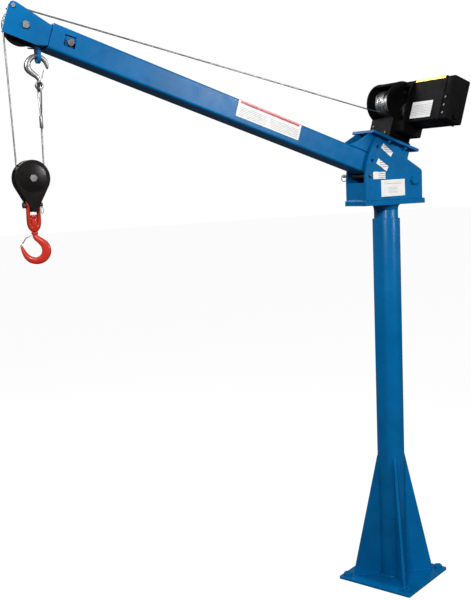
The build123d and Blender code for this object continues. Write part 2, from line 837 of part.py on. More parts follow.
def block_cheeks():
    low = 1478
    thick = 5
    head = 53
    toe = 10
    foot = low + toe
    lean = asin((head - toe) / (BLOCK_Z - foot))
    wide, drop = cos(lean), sin(lean)
    right = (BLOCK_X + head * wide, BLOCK_Z - head * drop)
    left = (BLOCK_X - head * wide, BLOCK_Z - head * drop)
    low_right = (BLOCK_X + toe * wide, foot - toe * drop)
    low_left = (BLOCK_X - toe * wide, foot - toe * drop)
    with BuildPart() as cheeks:
        for back in (-12, 17):
            with BuildSketch(upright(back)):
                with BuildLine():
                    ThreePointArc(right, (BLOCK_X, BLOCK_Z + head), left)
                    Line(left, low_left)
                    ThreePointArc(low_left, (BLOCK_X, low), low_right)
                    Line(low_right, right)
                make_face()
                with Locations((BLOCK_X, BLOCK_Z)):
                    Circle(6.35, mode=Mode.SUBTRACT)
            extrude(amount=thick)
        fillet(cheeks.edges().filter_by(GeomType.CIRCLE).filter_by(lambda edge: edge.radius > 50), 1.2)
    save(cheeks, "block_cheeks")


def block_sheave():
    with BuildPart() as sheave:
        with BuildSketch(Plane(origin=(BLOCK_X, 0, BLOCK_Z), x_dir=(1, 0, 0), z_dir=(0, 0, 1))):
            with BuildLine():
                Polyline(
                    (6.42, -11.4), (13, -11.4), (13, -6), (33, -6), (35, -8), (BLOCK_RIM_R, -8),
                    (BLOCK_RIM_R, -6), (38.9, -3), (38.2, 0), (38.9, 3), (BLOCK_RIM_R, 6),
                    (BLOCK_RIM_R, 8), (35, 8), (33, 6), (13, 6), (13, 11.4), (6.42, 11.4), close=True,
                )
            make_face()
        revolve(axis=Axis((BLOCK_X, 0, BLOCK_Z), (0, 1, 0)))
    save(sheave, "block_sheave")


def block_axle():
    with BuildPart() as axle:
        with BuildSketch(upright(23)):
            with Locations((BLOCK_X, BLOCK_Z)):
                Circle(6.35)
        extrude(amount=46)
        for start in (-17.2, 24.2):
            with BuildSketch(upright(start)):
                with Locations((BLOCK_X, BLOCK_Z)):
                    RegularPolygon(9.5, 6, major_radius=False)
            extrude(amount=7)
    save(axle, "block_axle")


def block_lug():
    with BuildPart() as lug:
        with BuildSketch(upright(12)):
            with Locations((BLOCK_X, 1506)):
                SlotOverall(44, 20, rotation=90)
        extrude(amount=24)
        with BuildSketch(Plane(origin=(BLOCK_X, 0, CLEVIS_PIN_Z), x_dir=(0, 1, 0), z_dir=(1, 0, 0)).offset(-30)):
            Circle(6.06)
        extrude(amount=60, mode=Mode.SUBTRACT)
    save(lug, "block_lug")


CLEVIS_PLANE = Plane(origin=(BLOCK_X, 0, CLEVIS_PIN_Z), x_dir=(0, 1, 0), z_dir=(1, 0, 0))


def clevis():
    outer = 20.5
    inner = 10.8
    with BuildPart() as shackle:
        with BuildSketch(upright(9)):
            with BuildLine():
                Line((BLOCK_X - outer, CLEVIS_PIN_Z + 11), (BLOCK_X - outer, 1446))
                ThreePointArc((BLOCK_X - outer, 1446), (BLOCK_X - 16, 1430), (BLOCK_X - 8, 1421))
                Line((BLOCK_X - 8, 1421), (BLOCK_X + 8, 1421))
                ThreePointArc((BLOCK_X + 8, 1421), (BLOCK_X + 16, 1430), (BLOCK_X + outer, 1446))
                Line((BLOCK_X + outer, 1446), (BLOCK_X + outer, CLEVIS_PIN_Z + 11))
                Line((BLOCK_X + outer, CLEVIS_PIN_Z + 11), (BLOCK_X + inner, CLEVIS_PIN_Z + 11))
                Line((BLOCK_X + inner, CLEVIS_PIN_Z + 11), (BLOCK_X + inner, 1460))
                Line((BLOCK_X + inner, 1460), (BLOCK_X - inner, 1460))
                Line((BLOCK_X - inner, 1460), (BLOCK_X - inner, CLEVIS_PIN_Z + 11))
                Line((BLOCK_X - inner, CLEVIS_PIN_Z + 11), (BLOCK_X - outer, CLEVIS_PIN_Z + 11))
            make_face()
        extrude(amount=18)
        fillet(shackle.edges().filter_by(Axis.Z).group_by(Axis.X)[0], 3)
        fillet(shackle.edges().filter_by(Axis.Z).group_by(Axis.X)[-1], 3)
        with BuildSketch(CLEVIS_PLANE.offset(-30)):
            Circle(6)
        extrude(amount=60, mode=Mode.SUBTRACT)
        with BuildSketch(Plane.XY.offset(1415)):
            with Locations((BLOCK_X, 0)):
                Circle(7.06)
        extrude(amount=60, mode=Mode.SUBTRACT)
    save(shackle, "hook_clevis")


def clevis_pin():
    with BuildPart() as pin:
        with BuildSketch(CLEVIS_PLANE.offset(-27)):
            Circle(6)
        extrude(amount=56)
        with BuildSketch(CLEVIS_PLANE.offset(-30)):
            Circle(9)
        extrude(amount=6)
    save(pin, "clevis_pin")


def cotter_ring():
    with BuildPart() as ring:
        with BuildSketch(Plane(origin=(BLOCK_X + 27.5, 0, CLEVIS_PIN_Z - 16.6), x_dir=(0, 1, 0), z_dir=(0, 0, 1))):
            with Locations((9.5, 0)):
                Circle(0.9)
        revolve(axis=Axis((BLOCK_X + 27.5, 0, CLEVIS_PIN_Z - 16.6), (1, 0, 0)))
    save(ring, "cotter_ring")


HOOK_HALF = 8
LATCH_R = 1.4
HOOK_TOP = 1414
HOOK_OUTSIDE = [
    (7, HOOK_TOP), (11, 1402), (27, 1394), (41, 1378), (45, 1362), (39, 1343), (24, 1330), (0, 1325.5),
    (-24, 1332), (-38, 1347), (-45, 1367), (-44.5, 1383),
]
HOOK_INSIDE = [
    (-40, 1382), (-31, 1366), (-20, 1353), (-5, 1346.5), (9, 1350), (18, 1361), (16.5, 1374), (7, 1386),
    (-5, 1398), (-7, HOOK_TOP),
]


def load_hook():
    with BuildPart() as hook:
        with BuildSketch(hook_plane(HOOK_HALF)):
            with BuildLine():
                Spline(*HOOK_OUTSIDE)
                Line(HOOK_OUTSIDE[-1], HOOK_INSIDE[0])
                Spline(*HOOK_INSIDE)
                Line(HOOK_INSIDE[-1], HOOK_OUTSIDE[0])
            make_face()
        extrude(amount=2 * HOOK_HALF)
        with BuildSketch(Plane.XY.offset(HOOK_TOP - 6)):
            with Locations((BLOCK_X, 0)):
                Circle(7)
        extrude(amount=54)
        with BuildSketch(Plane.XY.offset(1460.4)):
            with Locations((BLOCK_X, 0)):
                Circle(9.6)
        extrude(amount=10)
    save(hook, "load_hook")


def load_hook_latch():
    start = (-9.2, 1411)
    elbow = (-26, 1404)
    across = Vector(elbow[0] - start[0], elbow[1] - start[1], 0)
    plane = hook_plane(0)
    heading = plane.from_local_coords(across) - plane.from_local_coords(Vector(0, 0, 0))
    with BuildPart() as latch:
        with BuildLine(plane):
            Polyline(start, elbow, (-38, 1387))
        with BuildSketch(Plane(origin=plane.from_local_coords((*start, 0)), z_dir=heading)):
            Circle(LATCH_R)
        sweep(transition=Transition.ROUND)
    save(latch, "load_hook_latch")


# ---------------------------------------------------------------- rope

def straight_rope(node, start, end):
    with BuildPart() as rope:
        with BuildLine():
            Line(tuple(start), tuple(end))
        with BuildSketch(Plane(origin=tuple(start), z_dir=tuple(end - start))):
            Circle(ROPE_R)
        sweep()
    save(rope, node)
    print(node, "radius", ROPE_R, "length", round((end - start).length, 1))


def run_ends():
    """Where the rope leaves the drum's underside and meets the tip sheave's top."""
    gap = DRUM - AXLE
    span = sqrt(gap.X ** 2 + gap.Z ** 2)
    along = Vector(-gap.X / span, 0, -gap.Z / span)
    across = Vector(-along.Z, 0, along.X)
    if across.Z < 0:
        across = across * -1
    wound = WOUND_R - 5 + ROPE_R + 0.3
    lean = asin((SHEAVE_PITCH_R + wound) / span)
    off = across * cos(lean) + along * -sin(lean)
    return DRUM - off * wound, AXLE + off * SHEAVE_PITCH_R, off


def ropes():
    leave, meet, off = run_ends()
    way = (meet - leave).normalized()
    straight_rope("rope_run", leave, meet - way * 0.5)
    fall_top = Vector(AXLE.X - SHEAVE_PITCH_R, 0, AXLE.Z - 0.5)
    fall_low = Vector(BLOCK_X - BLOCK_PITCH_R, 0, BLOCK_Z + 0.3)
    with BuildPart() as arc:
        with BuildSketch(Plane(origin=tuple(meet), z_dir=tuple(way))):
            Circle(ROPE_R)
        turn = 180 - degrees(asin(off.Z))
        revolve(axis=Axis(tuple(AXLE), (0, -1, 0)), revolution_arc=turn)
    save(arc, "rope_over_tip")
    straight_rope("rope_lead_fall", fall_top, fall_low)
    with BuildPart() as wrap:
        with BuildSketch(Plane.XY.offset(BLOCK_Z)):
            with Locations((BLOCK_X - BLOCK_PITCH_R, 0)):
                Circle(ROPE_R)
        revolve(axis=Axis((BLOCK_X, 0, BLOCK_Z), (0, -1, 0)), revolution_arc=180)
    save(wrap, "rope_block_wrap")
    foot_top = Vector(dead_x(1640), 0, 1640)
    straight_rope("rope_dead_fall", Vector(dead_x(FERRULE_TOP - 2), 0, FERRULE_TOP - 2), foot_top + Vector(0, 0, 0.3))
    straight_rope("rope_dead_foot", foot_top, Vector(dead_x(BLOCK_Z), 0, BLOCK_Z + 0.3))
    crown = EYE_Z - 10
    reach = 11.4
    gap = ROPE_R + 0.1
    low = FERRULE_TOP + 0.3
    away = sqrt(gap ** 2 + (crown - low) ** 2)
    lean = asin(reach / away) - asin(gap / away)
    out = reach * cos(lean)
    down = reach * sin(lean)
    with BuildPart() as eye:
        with BuildLine(Plane(origin=(EYE_X, 0, 0), x_dir=(0, 1, 0), z_dir=(1, 0, 0))):
            Line((-gap, low), (-out, crown - down))
            ThreePointArc((-out, crown - down), (0, crown + reach), (out, crown - down))
            Line((out, crown - down), (gap, low))
        with BuildSketch(Plane(origin=(EYE_X, -gap, low), z_dir=(0, -sin(lean), cos(lean)))):
            Circle(ROPE_R)
        sweep()
    save(eye, "rope_eye")


base_plate()
anchor_pads()
mast_tube()
base_gussets()
mast_seat()
thrust_washer()
swivel_spigot()
yoke_floor()
yoke_plates()
yoke_front_web()
pivot_bolt()
angle_pin()
angle_pin_ring()
boom_outer_tube()
clamp_bolt()
pivot_sleeve()
winch_brackets()
winch_plate()
winch_bolts()
winch_foot()
winch_sides()
winch_tie_bars()
gear_housing()
motor_cover()
motor_end_cap()
cable_gland()
motor_body()
gear_train()
winch_screws()
boom_labels()
yoke_labels()
winch_drum()
rope_on_drum()
boom_inner_tube()
tip_plates()
tip_sheave()
tip_axle()
tip_spacers()
rope_keeper()
hook_lug()
line_hook()
line_hook_latch()
thimble()
ferrule()
block_cheeks()
block_sheave()
block_axle()
block_lug()
clevis()
clevis_pin()
cotter_ring()
load_hook()
load_hook_latch()
ropes()
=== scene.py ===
import json
import math

import bpy
from mathutils import Matrix, Vector


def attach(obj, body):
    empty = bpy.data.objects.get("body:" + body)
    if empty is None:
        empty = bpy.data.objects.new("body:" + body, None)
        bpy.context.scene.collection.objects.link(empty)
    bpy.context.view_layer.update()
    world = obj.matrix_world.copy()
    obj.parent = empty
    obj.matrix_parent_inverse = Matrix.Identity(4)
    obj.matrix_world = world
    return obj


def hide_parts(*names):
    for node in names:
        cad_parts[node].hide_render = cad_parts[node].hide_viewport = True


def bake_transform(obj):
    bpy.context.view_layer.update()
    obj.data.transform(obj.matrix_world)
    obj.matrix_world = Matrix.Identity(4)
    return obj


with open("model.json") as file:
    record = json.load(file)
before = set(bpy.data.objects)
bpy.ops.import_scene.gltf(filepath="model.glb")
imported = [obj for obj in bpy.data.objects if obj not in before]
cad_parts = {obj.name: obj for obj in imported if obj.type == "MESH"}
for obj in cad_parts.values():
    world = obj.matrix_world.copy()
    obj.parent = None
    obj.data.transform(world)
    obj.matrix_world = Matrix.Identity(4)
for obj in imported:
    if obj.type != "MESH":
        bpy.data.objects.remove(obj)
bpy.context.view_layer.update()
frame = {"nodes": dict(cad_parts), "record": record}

# ------------------------------------------------------------------ the crane's own numbers, in metres

BOOM_ANGLE = math.radians(18.35)
BOOM_ORIGIN = Vector((0, 0, 1.5522))
TOE = Vector((-math.cos(BOOM_ANGLE), 0, math.sin(BOOM_ANGLE)))
RISE = Vector((math.sin(BOOM_ANGLE), 0, math.cos(BOOM_ANGLE)))
ACROSS = Vector((0, 1, 0))
ROPE_D = 0.005
ROPE_R = ROPE_D / 2


def at(s, n, y=0.0):
    """A point of the boom's own frame: s towards the tip, n up off the boom."""
    return BOOM_ORIGIN + TOE * s + RISE * n + ACROSS * y


AXLE = at(1.434, 0)
DRUM = at(0.040, 0.254)
TIP_PITCH_R = 0.0525
WOUND_R = 0.0463
BLOCK_X = -1.3612
BLOCK_Z = 1.576
BLOCK_PITCH_R = 0.041
EYE_X = -1.3175
EYE_Z = 1.841
FERRULE_TOP = 1.754
FERRULE_LOW = 1.720
FALL_LEAN = (BLOCK_X + BLOCK_PITCH_R - EYE_X) / (EYE_Z - BLOCK_Z)

# ------------------------------------------------------------------ camera


CAMERA_PLACE = Vector((-2.3082, -2.5832, 1.5360))
CAMERA_YAW = math.radians(32.28)
CAMERA_PITCH = math.radians(7.22)
CAMERA_ROLL = math.radians(2.374)
CAMERA_LENS = 70.08


def add_camera():
    """Stands where the photo was taken from, looking slightly down."""
    data = bpy.data.cameras.new("camera")
    data.sensor_fit = "HORIZONTAL"
    data.sensor_width = 36.0
    data.lens = CAMERA_LENS
    data.clip_end = 50
    camera = bpy.data.objects.new("camera", data)
    turn = Matrix.Rotation(-CAMERA_YAW, 4, "Z") @ Matrix.Rotation(math.pi / 2 - CAMERA_PITCH, 4, "X")
    turn = turn @ Matrix.Rotation(-CAMERA_ROLL, 4, "Z")
    camera.matrix_world = Matrix.Translation(CAMERA_PLACE) @ turn
    bpy.context.scene.collection.objects.link(camera)
    bpy.context.scene.camera = camera


add_camera()

# ------------------------------------------------------------------ mesh helpers


def link(obj):
    """Puts an object into the scene."""
    bpy.context.scene.collection.objects.link(obj)
    return obj


def mesh_object(name, verts, faces, smooth=True):
    """A mesh object from plain lists, in the row frame."""
    data = bpy.data.meshes.new(name)
    data.from_pydata([tuple(v) for v in verts], [], faces)
    data.update()
    if smooth:
        for polygon in data.polygons:
            polygon.use_smooth = True
    return link(bpy.data.objects.new(name, data))


def add_rings(faces, base, rings, around):
    """Joins each ring of vertices to the next one, from vertex base on."""
    for i in range(rings - 1):
        for k in range(around):
            a = base + i * around + k
            b = base + i * around + (k + 1) % around
            faces.append((a, b, b + around, a + around))


def add_caps(faces, base, rings, around):
    """Closes the first and the last ring."""
    faces.append(tuple(base + k for k in reversed(range(around))))
    last = base + (rings - 1) * around
    faces.append(tuple(last + k for k in range(around)))


def frames_along(points):
    """A twist-free pair of side directions at every point of a path."""
    count = len(points)
    ahead = []
    for i in range(count):
        a, b = points[max(i - 1, 0)], points[min(i + 1, count - 1)]
        ahead.append((b - a).normalized())
    start = Vector((0, 1, 0)) if abs(ahead[0].y) < 0.9 else Vector((1, 0, 0))
    side = (start - ahead[0] * start.dot(ahead[0])).normalized()
    sides = []
    for i in range(count):
        side = (side - ahead[i] * side.dot(ahead[i])).normalized()
        sides.append((side.copy(), ahead[i].cross(side)))
    return sides


def tube(name, points, radius, around, profile):
    """A capped tube along points. profile scales the radius at an angle and a ring number."""
    verts, faces = [], []
    for i, (centre, (u, v)) in enumerate(zip(points, frames_along(points))):
        for k in range(around):
            turn = 2 * math.pi * k / around
            reach = radius * profile(turn, i)
            verts.append(centre + (u * math.cos(turn) + v * math.sin(turn)) * reach)
    add_rings(faces, 0, len(points), around)
    add_caps(faces, 0, len(points), around)
    return mesh_object(name, verts, faces)


def smooth_path(points, step):
    """Points along a NURBS spline whose control points are given."""
    data = bpy.data.curves.new("route", "CURVE")
    data.dimensions = "3D"
    data.resolution_u = 24
    spline = data.splines.new("NURBS")
    spline.points.add(len(points) - 1)
    for control, place in zip(spline.points, points):
        control.co = (*place, 1.0)
    spline.order_u = 3
    spline.use_endpoint_u = True
    holder = bpy.data.objects.new("route", data)
    route = bpy.data.meshes.new_from_object(holder)
    raw = [Vector(v.co) for v in route.vertices]
    bpy.data.objects.remove(holder)
    bpy.data.meshes.remove(route)
    bpy.data.curves.remove(data)
    return even(raw, step)


def even(raw, step):
    """The same path with its points about one step apart."""
    lengths = [0.0]
    for a, b in zip(raw, raw[1:]):
        lengths.append(lengths[-1] + (b - a).length)
    count = max(2, int(round(lengths[-1] / step)))
    points, j = [], 0
    for i in range(count + 1):
        goal = lengths[-1] * i / count
        while j < len(lengths) - 2 and lengths[j + 1] < goal:
            j += 1
        span = lengths[j + 1] - lengths[j]
        share = (goal - lengths[j]) / span if span else 0
        points.append(raw[j].lerp(raw[j + 1], share))
    return points


LAY_STEP = 0.0022
STRANDS = 6
LAY_LENGTH = 0.032


def rope(name, points, step=LAY_STEP):
    """A six-strand wire rope along points: a lobed section that turns with the lay."""
    turn_per_ring = 2 * math.pi * step / LAY_LENGTH

    def lobes(turn, i):
        return 0.84 + 0.18 * abs(math.cos(STRANDS / 2 * (turn + i * turn_per_ring)))
    return tube(name, points, ROPE_R, 24, lobes)


# ------------------------------------------------------------------ ropes: the routes that part.py gives them


def run_ends():
    """Where the run leaves the drum, where it meets the tip sheave, and the way outwards from both."""
    gap = DRUM - AXLE
    span = math.hypot(gap.x, gap.z)
    along = Vector((-gap.x / span, 0, -gap.z / span))
    across = Vector((-along.z, 0, along.x))
    if across.z < 0:
        across = -across
    lean = math.asin((TIP_PITCH_R + WOUND_R) / span)
    off = across * math.cos(lean) - along * math.sin(lean)
    return DRUM - off * WOUND_R, AXLE + off * TIP_PITCH_R, off


def corner(centre, radius, degrees, half):
    """A corner of the runs drawn round a sheave: half is half the angle it turns through."""
    turn = math.radians(degrees)
    reach = radius / math.cos(math.radians(half))
    return centre + Vector((math.cos(turn), 0, math.sin(turn))) * reach


def make_ropes():
    """The run over the tip, the lead fall round the block, the dead fall, and the eye above it."""
    leave, meet, off = run_ends()
    way = (meet - leave).normalized()
    top = math.degrees(math.atan2(off.z, off.x))
    half = (180 - top) / 4
    run_route = [
        leave, meet - way * 0.030,
        corner(AXLE, TIP_PITCH_R, top + half, half),
        corner(AXLE, TIP_PITCH_R, 180 - half, half),
        AXLE + Vector((-TIP_PITCH_R, 0, 0)),
    ]
    run_path = smooth_path(run_route, LAY_STEP)
    run = rope("wire_rope_run", run_path)
    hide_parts("rope_run", "rope_over_tip")
    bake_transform(run)

    block = Vector((BLOCK_X, 0, BLOCK_Z))
    lead_route = [
        AXLE + Vector((-TIP_PITCH_R, 0, -0.001)), block + Vector((-BLOCK_PITCH_R, 0, 0.030)),
        corner(block, BLOCK_PITCH_R, 210, 30), corner(block, BLOCK_PITCH_R, 270, 30),
        corner(block, BLOCK_PITCH_R, 330, 30), block + Vector((BLOCK_PITCH_R, 0, 0.001)),
    ]
    lead_path = smooth_path(lead_route, LAY_STEP)
    lead = rope("wire_rope_lead_fall", lead_path)
    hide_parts("rope_lead_fall", "rope_block_wrap")
    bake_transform(lead)

    def dead(z):
        return Vector((EYE_X + FALL_LEAN * (EYE_Z - z), 0, z))
    dead_path = even([dead(FERRULE_TOP - 0.003), dead(BLOCK_Z + 0.001)], LAY_STEP)
    fall = rope("wire_rope_dead_fall", dead_path)
    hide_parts("rope_dead_fall", "rope_dead_foot")
    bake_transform(fall)

    low = FERRULE_TOP - 0.003
    loop = [
        (EYE_X, -0.0022, FERRULE_LOW - 0.004), (EYE_X, -0.0025, low + 0.006), (EYE_X, -0.0075, low + 0.034),
        (EYE_X, -0.0135, EYE_Z - 0.018), (EYE_X, -0.0115, EYE_Z + 0.0005), (EYE_X, 0.0, EYE_Z + 0.0036),
        (EYE_X, 0.0115, EYE_Z + 0.0005), (EYE_X, 0.0135, EYE_Z - 0.018), (EYE_X, 0.0075, low + 0.034),
        (EYE_X, 0.0025, low + 0.006), (EYE_X, 0.0022, FERRULE_LOW - 0.004),
    ]
    eye = rope("wire_rope_eye", smooth_path([Vector(p) for p in loop], LAY_STEP))
    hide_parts("rope_eye")
    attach(eye, "line_hook")
    return [run, lead, fall, eye]


ROPES = make_ropes()


def drum_winding():
    """The wound rope: a full under layer, and a top layer that stops where the run leaves."""
    pitch = 0.0051
    half = 0.0445
    under_r = 0.0411
    top_r = WOUND_R

    def turns(radius, y0, y1, per_turn=56):
        count = int(abs(y1 - y0) / pitch * per_turn)
        points = []
        for i in range(count + 1):
            share = i / count
            y = y0 + (y1 - y0) * share
            turn = -2 * math.pi * (y1 - y) / pitch * math.copysign(1, y1 - y0)
            direction = RISE * -math.cos(turn) + TOE * math.sin(turn)
            points.append(DRUM + direction * radius + ACROSS * y)
        return points
    pieces = []
    for name, radius, y0, y1 in (("under", under_r, -half, half), ("top", top_r, half, 0.0)):
        wound = rope("wire_rope_wound_" + name, turns(radius, y0, y1), step=0.0048)
        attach(wound, "drum")
        pieces.append(wound)
    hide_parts("rope_on_drum")
    return pieces


ROPES += drum_winding()

# ------------------------------------------------------------------ materials


def new_material(name):
    material = bpy.data.materials.new(name)
    material.use_nodes = True
    tree = material.node_tree
    shader = tree.nodes["Principled BSDF"]
    return material, tree, shader


def node(tree, kind, **settings):
    made = tree.nodes.new(kind)
    for key, value in settings.items():
        if hasattr(made, key):
            setattr(made, key, value)
        else:
            made.inputs[key].default_value = value
    return made


def object_coords(tree):
    return tree.nodes.new("ShaderNodeTexCoord").outputs["Object"]


def noise(tree, vector, scale, detail=3.0, roughness=0.5):
    made = node(tree, "ShaderNodeTexNoise")
    made.inputs["Scale"].default_value = scale
    made.inputs["Detail"].default_value = detail
    made.inputs["Roughness"].default_value = roughness
    tree.links.new(vector, made.inputs["Vector"])
    return made.outputs["Fac"]


def ramp(tree, value, stops):
    made = node(tree, "ShaderNodeValToRGB")
    elements = made.color_ramp.elements
    while len(elements) > 1:
        elements.remove(elements[-1])
    elements[0].position = stops[0][0]
    elements[0].color = (*stops[0][1], 1)
    for place, colour in stops[1:]:
        elements.new(place).color = (*colour, 1)
    tree.links.new(value, made.inputs["Fac"])
    return made.outputs["Color"]


def spread(tree, value, low, high, from_low=0.3, from_high=0.7):
    made = node(tree, "ShaderNodeMapRange")
    made.inputs["From Min"].default_value = from_low
    made.inputs["From Max"].default_value = from_high
    made.inputs["To Min"].default_value = low
    made.inputs["To Max"].default_value = high
    tree.links.new(value, made.inputs["Value"])
    return made.outputs["Result"]


def add_bump(tree, shader, height, strength, distance):
    bump = node(tree, "ShaderNodeBump")
    bump.inputs["Strength"].default_value = strength
    bump.inputs["Distance"].default_value = distance
    tree.links.new(height, bump.inputs["Height"])
    tree.links.new(bump.outputs["Normal"], shader.inputs["Normal"])


def painted(name, dark, main, light, rough, coat, peel=260.0, chips=None, shine=0.28):
    """Sprayed paint: clouded colour, orange-peel bump, scuffed roughness and sparse chips."""
    material, tree, shader = new_material(name)
    vector = object_coords(tree)
    cloud = noise(tree, vector, 7.0, 4.0, 0.6)
    colour = ramp(tree, cloud, [(0.25, dark), (0.5, main), (0.75, light)])
    if chips:
        speck = noise(tree, vector, 190.0, 2.0, 0.4)
        patch = noise(tree, vector, 16.0, 3.0, 0.7)
        both = node(tree, "ShaderNodeMath", operation="MULTIPLY")
        tree.links.new(speck, both.inputs[0])
        tree.links.new(patch, both.inputs[1])
        mask = spread(tree, both.outputs[0], 0.0, 1.0, 0.46, 0.49)
        mix = node(tree, "ShaderNodeMix", data_type="RGBA")
        tree.links.new(mask, mix.inputs["Factor"])
        tree.links.new(colour, mix.inputs["A"])
        mix.inputs["B"].default_value = (*chips, 1)
        colour = mix.outputs["Result"]
    tree.links.new(colour, shader.inputs["Base Color"])
    scuff = noise(tree, vector, 34.0, 5.0, 0.65)
    tree.links.new(spread(tree, scuff, rough * 0.75, rough * 1.35), shader.inputs["Roughness"])
    shader.inputs["Specular IOR Level"].default_value = shine
    shader.inputs["Coat Weight"].default_value = coat
    shader.inputs["Coat Roughness"].default_value = 0.12
    add_bump(tree, shader, noise(tree, vector, peel, 2.0, 0.5), 0.12, 0.0006)
    return material


def metal(name, dark, light, rough, scale=90.0, strength=0.15):
    """Plated or bare metal with a fine grain and small stains."""
    material, tree, shader = new_material(name)
    vector = object_coords(tree)
    grain = noise(tree, vector, scale, 6.0, 0.7)
    stain = noise(tree, vector, 40.0, 4.0, 0.6)
    tree.links.new(ramp(tree, stain, [(0.3, dark), (0.65, light)]), shader.inputs["Base Color"])
    shader.inputs["Metallic"].default_value = 1.0
    tree.links.new(spread(tree, grain, rough * 0.7, rough * 1.3), shader.inputs["Roughness"])
    add_bump(tree, shader, grain, strength, 0.0003)
    return material


BLUE = painted("blue_powder_coat", (0.0, 0.100, 0.27), (0.0, 0.125, 0.34), (0.0, 0.150, 0.40), 0.26, 0.0,
               chips=(0.0, 0.05, 0.17), shine=0.16)
BLACK = painted("black_winch_paint", (0.002, 0.002, 0.002), (0.004, 0.004, 0.004), (0.008, 0.0075, 0.007),
                0.40, 0.0, peel=520.0, chips=(0.03, 0.028, 0.026), shine=0.03)
CAP_BLACK = painted("black_moulded_cap", (0.002, 0.002, 0.002), (0.004, 0.004, 0.004), (0.007, 0.007, 0.007),
                    0.55, 0.0, peel=900.0, shine=0.03)
RED = painted("red_hook_paint", (0.32, 0.012, 0.006), (0.52, 0.028, 0.014), (0.66, 0.07, 0.04), 0.26, 0.15,
              peel=180.0, chips=(0.30, 0.05, 0.04))
BLOCK_BLACK = painted("block_black_paint", (0.004, 0.003, 0.003), (0.008, 0.006, 0.006), (0.016, 0.012, 0.012),
                      0.24, 0.15, peel=240.0, chips=(0.08, 0.07, 0.065), shine=0.3)
NYLON = painted("black_nylon", (0.008, 0.008, 0.009), (0.014, 0.014, 0.015), (0.022, 0.021, 0.02), 0.5, 0.0,
                peel=700.0, shine=0.15)
ZINC = metal("bright_zinc_plate", (0.20, 0.20, 0.21), (0.42, 0.42, 0.43), 0.42, scale=150.0, strength=0.25)
STEEL_ROPE = metal("galvanised_wire", (0.20, 0.20, 0.20), (0.50, 0.50, 0.49), 0.38, scale=900.0, strength=0.35)
BRONZE = metal("bearing_bronze", (0.42, 0.26, 0.10), (0.60, 0.42, 0.20), 0.35)
DARK_BOLT = metal("dark_stained_bolt", (0.05, 0.045, 0.04), (0.20, 0.18, 0.16), 0.42, scale=120.0)
# A brass-coloured metal used only for a painted highlight along the motor cover's top and front edges.
PAINTED_HIGHLIGHT_BRASS = metal("painted_highlight_brass", (0.70, 0.45, 0.10), (0.95, 0.70, 0.24), 0.40, scale=240.0)

SLOT_MATERIAL = {
    "blue_paint": BLUE, "black_winch": BLACK, "black_cap": CAP_BLACK, "zinc": ZINC, "wire_rope": STEEL_ROPE,
    "sheave_nylon": NYLON, "block_black": BLOCK_BLACK, "red_paint": RED, "bronze": BRONZE,
}
NODE_MATERIAL = {
    "clamp_bolt": DARK_BOLT, "angle_pin": DARK_BOLT, "winch_screws": DARK_BOLT, "clevis_pin": DARK_BOLT,
    "winch_bolts": BLUE, "line_hook_latch": ZINC,
}


def paint(obj, material):
    obj.data.materials.clear()
    obj.data.materials.append(material)


for piece in ROPES:
    paint(piece, STEEL_ROPE)

# ------------------------------------------------------------------ stickers


def plane_coords(tree, origin, right, up, width, height):
    """0 to 1 across and up a flat sticker, from the object's own coordinates."""
    coords = tree.nodes.new("ShaderNodeTexCoord")
    outputs = []
    for direction, size in ((right, width), (up, height)):
        dot = node(tree, "ShaderNodeVectorMath", operation="DOT_PRODUCT")
        dot.inputs[1].default_value = tuple(direction / size)
        tree.links.new(coords.outputs["Object"], dot.inputs[0])
        shift = node(tree, "ShaderNodeMath", operation="SUBTRACT")
        shift.inputs[1].default_value = origin.dot(direction) / size
        tree.links.new(dot.outputs["Value"], shift.inputs[0])
        outputs.append(shift.outputs[0])
    return outputs


def band(tree, value, low, high, soft=0.004):
    """1 where value lies between low and high."""
    up = spread(tree, value, 0.0, 1.0, low - soft, low + soft)
    down = spread(tree, value, 1.0, 0.0, high - soft, high + soft)
    both = node(tree, "ShaderNodeMath", operation="MULTIPLY")
    tree.links.new(up, both.inputs[0])
    tree.links.new(down, both.inputs[1])
    return both.outputs[0]


def times(tree, *values):
    result = values[0]
    for value in values[1:]:
        both = node(tree, "ShaderNodeMath", operation="MULTIPLY")
        tree.links.new(result, both.inputs[0])
        tree.links.new(value, both.inputs[1])
        result = both.outputs[0]
    return result


def over(tree, base, colour, mask):
    mix = node(tree, "ShaderNodeMix", data_type="RGBA")
    tree.links.new(mask, mix.inputs["Factor"])
    tree.links.new(base, mix.inputs["A"])
    mix.inputs["B"].default_value = (*colour, 1)
    return mix.outputs["Result"]


